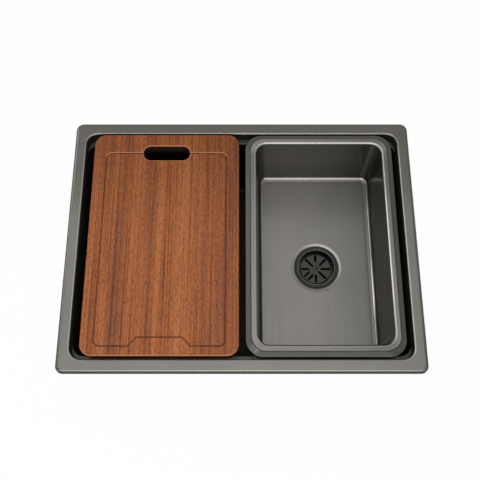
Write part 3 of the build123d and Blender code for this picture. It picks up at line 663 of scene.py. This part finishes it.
# Basin: a lift-out tub drawn from thinner sheet, with the same gunmetal coat and a stepped
# rim whose skirt stands on the ledges. Painted light and shade lie across it: painted shade in
# its folds, on its sloped flange and on the right of its floor, lighter rear and sides, and
# painted highlights on its mouth, its floor edge and its drain dish.
BASIN_BRUSH = (500, 5, 500)
# Painted light and shade: each share lightens or darkens the colour from the second place on, in metres
# along an axis.
LIGHT_AND_SHADE_SHARES = [
    ("Y", 0.158, 0.172, 1.68),
    ("X", 0.130, 0.215, 0.70),
    ("X", 0.2480, 0.2495, 1.42),
    ("X", 0.0258, 0.0248, 1.14),
]
BAND_INSET = 0.0086
BAND_CORNER = 0.024
FLANGE = (0.0, 0.030, 0.0003)
# Painted shade on the sloped outer flange, deeper at the front.
FLANGE_SHADE = (0.048, 0.045, 0.040)
FLANGE_FRONT = (-0.1905, -0.1885)
FLANGE_FRONT_SHADE = 0.78
STEP_FOOT = (-0.0002, 0.0010, 0.0003)
MOUTH_INSET = 0.0186
MOUTH_CORNER = 0.020
MOUTH_ROLL = (0.0, 0.0024, 0.0006)
MOUTH_FRONT = (-0.0030, 0.0017, 0.0003)
MOUTH_GLINT_PAINT = (0.0006, 0.0016, 0.0005)
MOUTH_REACH = (-0.15, 0.12)
MOUTH_GLINT_FADE = [(0.0, 0.0), (0.3, 1.0), (0.65, 0.9), (1.0, 0.0)]
# Painted glint on the right of the mouth and of the floor edge.
GLINT_PAINT = (0.42, 0.41, 0.385)
FLOOR_CORNER = 0.014
FLOOR_DRAFT = 0.008
FLOOR_FRONT_DRAFT = 0.009
FLOOR_REAR_DRAFT = 0.020
FLOOR_LINE = (-0.0036, -0.0012, 0.0007)
FLOOR_LEFT = (-0.0062, -0.0030, 0.0007)
# Painted highlight along the floor edge's roll.
FLOOR_ROLL_HIGHLIGHT = (0.165, 0.158, 0.143)
FLOOR_REACH = (-0.12, 0.0)
FLOOR_GLINT_FADE = [(0.0, 0.0), (0.3, 1.0), (0.6, 0.9), (1.0, 0.0)]
DISH = (0.0024, 0.0058, 0.0008)
# Painted highlight on the slope of the drain dish.
DISH_HIGHLIGHT = (0.160, 0.154, 0.142)


def on_sides(tree, low, high, side_low, side_high, corner, zone):
    """Zone round a rounded rectangle, on those sides alone that a second rectangle shares with it."""
    all_round = between(tree, outside(tree, low, high, corner), *zone)
    some_sides = between(tree, outside(tree, side_low, side_high, corner), *zone)
    return multiply(tree, all_round, some_sides)


def glint_right(tree, right, corner, zone, reach, wear):
    """Zone along a straight right-hand edge, fading in and out over part of its length."""
    edge = between(tree, outside(tree, (-FAR, -FAR), (right, FAR), corner), *zone)
    return multiply(tree, edge, ramp(tree, along(tree, "Y", *reach), wear))


basin_low, basin_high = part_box("basin_tub")
drain_low, drain_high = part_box("basin_drain_ring")
drain_radius = (drain_high[0] - drain_low[0]) / 2
band_low = [a + BAND_INSET for a in basin_low[:2]]
band_high = [b - BAND_INSET for b in basin_high[:2]]
mouth_low = [a + MOUTH_INSET for a in basin_low[:2]]
mouth_high = [b - MOUTH_INSET for b in basin_high[:2]]
floor_low = [mouth_low[0] + FLOOR_DRAFT, mouth_low[1] + FLOOR_FRONT_DRAFT]
floor_high = [mouth_high[0] - FLOOR_DRAFT, mouth_high[1] - FLOOR_REAR_DRAFT]
basin_finish, basin_tree, basin_shader, basin_colour = satin_steel("gunmetal_basin", GUNMETAL, BASIN_BRUSH)
# Painted light and shade across the basin's colour.
for axis, start, end, share in LIGHT_AND_SHADE_SHARES:
    light_share = ramp(basin_tree, along(basin_tree, axis, start, end), [(0.0, 1.0), (1.0, share)])
    basin_colour = multiply(basin_tree, basin_colour, light_share)
band_outline = outside(basin_tree, band_low, band_high, BAND_CORNER)
# Painted shade on the outer flange, deeper at the front.
flange = between(basin_tree, band_outline, *FLANGE)
basin_colour = tone(basin_tree, basin_shader, basin_colour, flange, FLANGE_SHADE)
from_flange = along(basin_tree, "Y", *FLANGE_FRONT)
front_shade = ramp(basin_tree, from_flange, [(0.0, FLANGE_FRONT_SHADE), (1.0, 1.0)])
basin_colour = multiply(basin_tree, basin_colour, front_shade)

mouth_outline = outside(basin_tree, mouth_low, mouth_high, MOUTH_CORNER)
dish_outline = outside(basin_tree, drain_low[:2], drain_high[:2], drain_radius)
mouth_sides = (mouth_low, mouth_high, (-FAR, mouth_low[1]), (FAR, FAR), MOUTH_CORNER)
floor_sides = (floor_low, floor_high, (-FAR, -FAR), floor_high, FLOOR_CORNER)
left_sides = (floor_low, floor_high, (floor_low[0], -FAR), (FAR, FAR), FLOOR_CORNER)
# Painted shade at the step's foot and the front of the mouth; painted highlights and glints on the mouth
# roll, the floor edge and the dish.
basin_zones = [
    (between(basin_tree, band_outline, *STEP_FOOT), SHADE_PAINT),
    (between(basin_tree, mouth_outline, *MOUTH_ROLL), HIGHLIGHT_PAINT),
    (glint_right(basin_tree, mouth_high[0], MOUTH_CORNER, MOUTH_GLINT_PAINT, MOUTH_REACH, MOUTH_GLINT_FADE), GLINT_PAINT),
    (on_sides(basin_tree, *mouth_sides, MOUTH_FRONT), SHADE_PAINT),
    (on_sides(basin_tree, *floor_sides, FLOOR_LINE), FLOOR_ROLL_HIGHLIGHT),
    (on_sides(basin_tree, *left_sides, FLOOR_LEFT), FLOOR_ROLL_HIGHLIGHT),
    (glint_right(basin_tree, floor_high[0], FLOOR_CORNER, FLOOR_LINE, FLOOR_REACH, FLOOR_GLINT_FADE), GLINT_PAINT),
    (between(basin_tree, dish_outline, *DISH), DISH_HIGHLIGHT),
]
for mask, colour in basin_zones:
    basin_colour = tone(basin_tree, basin_shader, basin_colour, mask, colour)
dress(basin_finish, "basin_tub")

# Basin drain: a turned and black-coated ring in the floor recess, clamped by a gasket and a
# nut. A slotted strainer with a spot-welded grip lies loose on the seat inside.
BLACK_STEEL = (0.017, 0.0162, 0.0145)
BLACK_LOOK = {"brush": (400, 400, 400), "smooth": 0.26, "rough": 0.36, "film": 0.1}
RING_GREY = (0.020, 0.0195, 0.0175)
# Painted shade in the gap round the ring, in its groove and down its throat; a painted highlight on its lip.
RING_SHADE = (0.005, 0.005, 0.005)
RING_HIGHLIGHT = (0.040, 0.0385, 0.035)
RING_FADE = 0.0002
RING_ZONES = [
    (-0.0010, 0.0005, RING_SHADE),
    (-0.0037, -0.0024, RING_SHADE),
    (-0.0066, -0.0050, RING_HIGHLIGHT),
    (-0.0110, -0.0069, RING_SHADE),
]
RING_RADIUS = 0.0335
RING_THREAD_LENGTH = 0.014
GRIP_TURN = math.radians(225)
GRIP_FEET = (-0.0062, 0.0238)
GRIP_SHEET = 0.0008
black_coat = satin_steel("black_coated_steel", BLACK_STEEL, **BLACK_LOOK)[0]
dress(black_coat, "basin_strainer", "strainer_grip")
ring_finish, ring_tree, ring_shader, ring_colour = satin_steel("black_coated_ring", RING_GREY, **BLACK_LOOK)
ring_outline = outside(ring_tree, drain_low[:2], drain_high[:2], drain_radius)
# Painted shade and painted highlight rings on the drain ring.
for start, end, colour in RING_ZONES:
    ring_zone = between(ring_tree, ring_outline, start, end, RING_FADE)
    ring_colour = tone(ring_tree, ring_shader, ring_colour, ring_zone, colour)
dress(ring_finish, "basin_drain_ring")
thread_band(
    "basin_ring_thread",
    "basin_drain_ring",
    "basin_drain_nut",
    RING_RADIUS,
    RING_THREAD_LENGTH,
    black_coat,
    "inner_basin",
)
dress(seal_rubber("basin_gasket_rubber"), "basin_drain_gasket")
dress(nut_plastic, "basin_drain_nut")
grip_along = Vector((math.cos(GRIP_TURN), math.sin(GRIP_TURN), 0))
grip_up = Vector((0, 0, 1))
strainer_low, strainer_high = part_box("basin_strainer")
grip_centre = Vector([(a + b) / 2 for a, b in zip(strainer_low, strainer_high)])
grip_centre.z = strainer_high[2] + GRIP_SHEET
grip_points = []
grip_faces = []
for foot in GRIP_FEET:
    weld_spot(grip_points, grip_faces, grip_centre + grip_along * foot, grip_along, grip_up)
added_piece("grip_weld_spots", grip_points, grip_faces, black_coat, "basin_strainer")

# Studio floor: a wide sheet of pale paper at the level of the tail's end. It is white to
# the camera and in reflections, and clear from below.
PAPER = (0.85, 0.85, 0.85)
PAPER_REACH = 6.0
PAPER_CORNERS = [(-1, -1), (1, -1), (1, 1), (-1, 1)]
PAPER_WHITE = 0.97


def seen_rays(tree):
    """1 for rays that show the surround: camera, glossy and transmission rays."""
    path = tree.nodes.new("ShaderNodeLightPath")
    seen = path.outputs["Is Camera Ray"]
    for kind in ("Is Glossy Ray", "Is Transmission Ray"):
        either = tree.nodes.new("ShaderNodeMath")
        either.operation = "MAXIMUM"
        tree.links.new(seen, either.inputs[0])
        tree.links.new(path.outputs[kind], either.inputs[1])
        seen = either.outputs[0]
    return seen


def mix_shaders(tree, amount, first, second):
    """Mix of two shader outputs by an output."""
    node = tree.nodes.new("ShaderNodeMixShader")
    tree.links.new(amount, node.inputs["Fac"])
    tree.links.new(first, node.inputs[1])
    tree.links.new(second, node.inputs[2])
    return node.outputs["Shader"]


floor_level = cad_box[0][2]
floor_points = [(PAPER_REACH * x, PAPER_REACH * y, floor_level) for x, y in PAPER_CORNERS]
floor_mesh = bpy.data.meshes.new("studio_floor")
floor_mesh.from_pydata(floor_points, [], [(0, 1, 2, 3)])
floor = bpy.data.objects.new("studio_floor", floor_mesh)
bpy.context.scene.collection.objects.link(floor)
paper, paper_tree, paper_shader = finish("pale_floor", PAPER, Roughness=0.9)
glow = paper_tree.nodes.new("ShaderNodeEmission")
shown = paper_tree.nodes.new("ShaderNodeMath")
shown.operation = "MULTIPLY"
shown.inputs[1].default_value = PAPER_WHITE
paper_tree.links.new(seen_rays(paper_tree), shown.inputs[0])
lit_paper = mix_shaders(paper_tree, shown.outputs[0], paper_shader.outputs["BSDF"], glow.outputs["Emission"])
side_seen = paper_tree.nodes.new("ShaderNodeNewGeometry")
clear = paper_tree.nodes.new("ShaderNodeBsdfTransparent")
one_sided = mix_shaders(paper_tree, side_seen.outputs["Backfacing"], lit_paper, clear.outputs["BSDF"])
paper_tree.links.new(one_sided, paper_tree.nodes["Material Output"].inputs["Surface"])
floor_mesh.materials.append(paper)

# Surround: a dim even light from all sides, which the camera and reflections see as plain
# white.
WHITE = (1, 1, 1, 1)
AMBIENT = 0.05
SURROUND = 1.0
world = bpy.data.worlds.new("studio_world")
bpy.context.scene.world = world
world.use_nodes = True
sky = world.node_tree
ambient = sky.nodes["Background"]
surround = sky.nodes.new("ShaderNodeBackground")
for background, strength in ((ambient, AMBIENT), (surround, SURROUND)):
    background.inputs["Color"].default_value = WHITE
    background.inputs["Strength"].default_value = strength
sky_mix = mix_shaders(sky, seen_rays(sky), ambient.outputs["Background"], surround.outputs["Background"])
sky.links.new(sky_mix, sky.nodes["World Output"].inputs["Surface"])

# Lamps: four soft boxes, one overhead, two in front and one at the left, each given by its
# name, place, target, width and depth, and radiance.
SINK_MIDDLE = (0.0, 0.0, 0.0)
LAMPS = [
    ("top_softbox", (-0.08, 0.085, 1.9), (-0.08, 0.085, 0.0), (1.84, 1.56), 2.4),
    ("front_high", (0.0, -0.85, 1.9), SINK_MIDDLE, (1.5, 0.12), 7.0),
    ("front_panel", (0.0, -1.45, 0.98), SINK_MIDDLE, (1.6, 0.60), 7.0),
    ("left_strip", (-1.35, 0.55, 0.90), SINK_MIDDLE, (1.0, 0.30), 8.0),
]
for name, place, target, (width, depth), radiance in LAMPS:
    lamp = bpy.data.lights.new(name, "AREA")
    lamp.shape = "RECTANGLE"
    lamp.size = width
    lamp.size_y = depth
    lamp.energy = radiance * math.pi * width * depth
    softbox = bpy.data.objects.new(name, lamp)
    softbox.location = place
    softbox.rotation_euler = (Vector(target) - Vector(place)).to_track_quat("-Z", "Y").to_euler()
    softbox.visible_camera = False
    bpy.context.scene.collection.objects.link(softbox)

# Camera: above the front edge, looking steeply down, as in the photograph. Its place and
# focal length were fitted to the rim's edges, in pixels of the photograph's frame.
CAMERA_HEIGHT = 1.06733
CAMERA_FORWARD = 0.37095
CAMERA_DOWN = math.radians(70.7127)
FOCAL_PIXELS = 659.09
FRAME_PIXELS = 480
CENTRE_PIXELS = 1.83
SENSOR_WIDTH = 36.0
camera_data = bpy.data.cameras.new("photo_camera")
camera_data.sensor_width = SENSOR_WIDTH
camera_data.lens = SENSOR_WIDTH * FOCAL_PIXELS / FRAME_PIXELS
camera_data.shift_x = -CENTRE_PIXELS / FRAME_PIXELS
camera = bpy.data.objects.new("photo_camera", camera_data)
camera.location = (0.0, -CAMERA_FORWARD, CAMERA_HEIGHT)
camera.rotation_euler = (math.pi / 2 - CAMERA_DOWN, 0.0, 0.0)
bpy.context.scene.collection.objects.link(camera)
bpy.context.scene.camera = camera
bpy.context.scene.view_settings.view_transform = "Standard"
